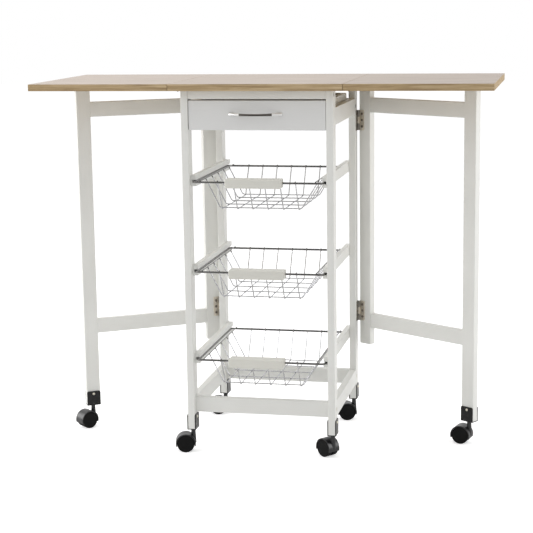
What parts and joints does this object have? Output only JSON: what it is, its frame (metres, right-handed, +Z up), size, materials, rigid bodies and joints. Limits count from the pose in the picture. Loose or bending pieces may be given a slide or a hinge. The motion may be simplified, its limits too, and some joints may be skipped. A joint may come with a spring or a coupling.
{
  "type": "folding kitchen trolley",
  "caption": "Narrow white kitchen trolley on casters with a drawer, pull-out wire baskets and a long wood-look top whose end leaves rest on swinging gate legs.",
  "frame": {"origin": "on the floor, under the middle of the worktop", "axes": "+X along the worktop to the right seen from the drawer side, +Y from the front to the back, +Z up"},
  "size_m": [1.028, 0.408, 0.84],
  "materials": {
    "painted_wood": "satin paint",
    "oak_board": "matt wood-grain laminate",
    "drawer_board": "thin satin paint",
    "grip_wood": "satin paint",
    "bright_metal": "polished",
    "chrome_wire": "bright plated",
    "hinge_steel": "nickel plated",
    "zinc_screws": "zinc plated",
    "black_steel": "black satin",
    "black_plastic": "satin",
    "wheel_plastic": "satin"
  },
  "bodies": {
    "trolley": {"post_front_left": "painted_wood", "post_front_right": "painted_wood", "post_rear_left": "painted_wood", "post_rear_right": "painted_wood", "top_rail_front": "painted_wood", "apron_rear": "painted_wood", "apron_left": "painted_wood", "apron_right": "painted_wood", "bottom_rail_front": "painted_wood", "bottom_rail_rear": "painted_wood", "bottom_rail_left": "painted_wood", "bottom_rail_right": "painted_wood", "basket_rails_left": "painted_wood", "basket_rails_right": "painted_wood", "drawer_runners": "painted_wood", "worktop_centre": "oak_board", "gate_hinges_fixed": "hinge_steel", "worktop_hinges_fixed": "hinge_steel", "frame_bolts": "zinc_screws", "frame_screws": "zinc_screws", "caster_brackets": "black_steel"},
    "drawer": {"drawer_front": "painted_wood", "drawer_sides": "drawer_board", "drawer_back": "drawer_board", "drawer_bottom": "drawer_board", "drawer_handle": "bright_metal"},
    "basket_top": {"basket_top": "chrome_wire", "basket_grip_top": "grip_wood"},
    "basket_middle": {"basket_middle": "chrome_wire", "basket_grip_middle": "grip_wood"},
    "basket_bottom": {"basket_bottom": "chrome_wire", "basket_grip_bottom": "grip_wood"},
    "leaf_left": {"leaf_left": "oak_board", "leaf_hinges_left": "hinge_steel"},
    "gate_left": {"gate_left_hinges": "hinge_steel", "gate_left_screws": "zinc_screws", "gate_left_bracket": "black_steel", "gate_left_inner_post": "painted_wood", "gate_left_outer_post": "painted_wood", "gate_left_rails": "painted_wood"},
    "leaf_right": {"leaf_right": "oak_board", "leaf_hinges_right": "hinge_steel"},
    "gate_right": {"gate_right_hinges": "hinge_steel", "gate_right_screws": "zinc_screws", "gate_right_bracket": "black_steel", "gate_right_inner_post": "painted_wood", "gate_right_outer_post": "painted_wood", "gate_right_rails": "painted_wood"},
    "caster_front_left": {"caster_front_left_fork": "black_plastic"},
    "wheels_front_left": {"caster_front_left_wheels": "wheel_plastic"},
    "caster_front_right": {"caster_front_right_fork": "black_plastic"},
    "wheels_front_right": {"caster_front_right_wheels": "wheel_plastic"},
    "caster_rear_left": {"caster_rear_left_fork": "black_plastic"},
    "wheels_rear_left": {"caster_rear_left_wheels": "wheel_plastic"},
    "caster_rear_right": {"caster_rear_right_fork": "black_plastic"},
    "wheels_rear_right": {"caster_rear_right_wheels": "wheel_plastic"},
    "caster_gate_left": {"caster_gate_left_fork": "black_plastic"},
    "wheels_gate_left": {"caster_gate_left_wheels": "wheel_plastic"},
    "caster_gate_right": {"caster_gate_right_fork": "black_plastic"},
    "wheels_gate_right": {"caster_gate_right_wheels": "wheel_plastic"}
  },
  "joints": [
    {"name": "drawer_slide", "type": "slide", "parent": "trolley", "child": "drawer", "axis": [0, -1, 0], "range_m": [0, 0.24]},
    {"name": "basket_top_slide", "type": "slide", "parent": "trolley", "child": "basket_top", "axis": [0, -1, 0], "range_m": [0, 0.25]},
    {"name": "basket_middle_slide", "type": "slide", "parent": "trolley", "child": "basket_middle", "axis": [0, -1, 0], "range_m": [0, 0.25]},
    {"name": "basket_bottom_slide", "type": "slide", "parent": "trolley", "child": "basket_bottom", "axis": [0, -1, 0], "range_m": [0, 0.25]},
    {"name": "gate_left_swing", "type": "hinge", "parent": "trolley", "child": "gate_left", "pos_m": [-0.1735, 0.16, 0.502], "axis": [0, 0, 1], "range_deg": [-55, 46]},
    {"name": "leaf_left_lift", "type": "hinge", "parent": "trolley", "child": "leaf_left", "pos_m": [-0.1935, -0.007, 0.8215], "axis": [0, 1, 0], "range_deg": [0, 2]},
    {"name": "gate_right_swing", "type": "hinge", "parent": "trolley", "child": "gate_right", "pos_m": [0.1735, 0.16, 0.502], "axis": [0, 0, -1], "range_deg": [-55, 50]},
    {"name": "leaf_right_lift", "type": "hinge", "parent": "trolley", "child": "leaf_right", "pos_m": [0.1935, -0.007, 0.8215], "axis": [0, -1, 0], "range_deg": [0, 2]},
    {"name": "swivel_front_left", "type": "hinge", "parent": "trolley", "child": "caster_front_left", "pos_m": [-0.162, -0.166, 0.06], "axis": [0, 0, 1], "continuous": true},
    {"name": "roll_front_left", "type": "hinge", "parent": "caster_front_left", "child": "wheels_front_left", "pos_m": [-0.17939, -0.17066, 0.02], "axis": [0.2588, -0.9659, 0], "continuous": true},
    {"name": "swivel_front_right", "type": "hinge", "parent": "trolley", "child": "caster_front_right", "pos_m": [0.162, -0.166, 0.06], "axis": [0, 0, 1], "continuous": true},
    {"name": "roll_front_right", "type": "hinge", "parent": "caster_front_right", "child": "wheels_front_right", "pos_m": [0.14801, -0.15467, 0.02], "axis": [-0.6293, -0.7771, 0], "continuous": true},
    {"name": "swivel_rear_left", "type": "hinge", "parent": "trolley", "child": "caster_rear_left", "pos_m": [-0.162, 0.152, 0.06], "axis": [0, 0, 1], "continuous": true},
    {"name": "roll_rear_left", "type": "hinge", "parent": "caster_rear_left", "child": "wheels_rear_left", "pos_m": [-0.17961, 0.14826, 0.02], "axis": [0.2079, -0.9781, 0], "continuous": true},
    {"name": "swivel_rear_right", "type": "hinge", "parent": "trolley", "child": "caster_rear_right", "pos_m": [0.162, 0.152, 0.06], "axis": [0, 0, 1], "continuous": true},
    {"name": "roll_rear_right", "type": "hinge", "parent": "caster_rear_right", "child": "wheels_rear_right", "pos_m": [0.14479, 0.14674, 0.02], "axis": [0.2924, -0.9563, 0], "continuous": true},
    {"name": "swivel_gate_left", "type": "hinge", "parent": "gate_left", "child": "caster_gate_left", "pos_m": [-0.45512, -0.00858, 0.06], "axis": [0, 0, 1], "continuous": true},
    {"name": "roll_gate_left", "type": "hinge", "parent": "caster_gate_left", "child": "wheels_gate_left", "pos_m": [-0.46669, -0.02237, 0.02], "axis": [0.766, -0.6428, 0], "continuous": true},
    {"name": "swivel_gate_right", "type": "hinge", "parent": "gate_right", "child": "caster_gate_right", "pos_m": [0.45512, -0.00858, 0.06], "axis": [0, 0, 1], "continuous": true},
    {"name": "roll_gate_right", "type": "hinge", "parent": "caster_gate_right", "child": "wheels_gate_right", "pos_m": [0.43773, -0.00392, 0.02], "axis": [-0.2588, -0.9659, 0], "continuous": true}
  ]
}
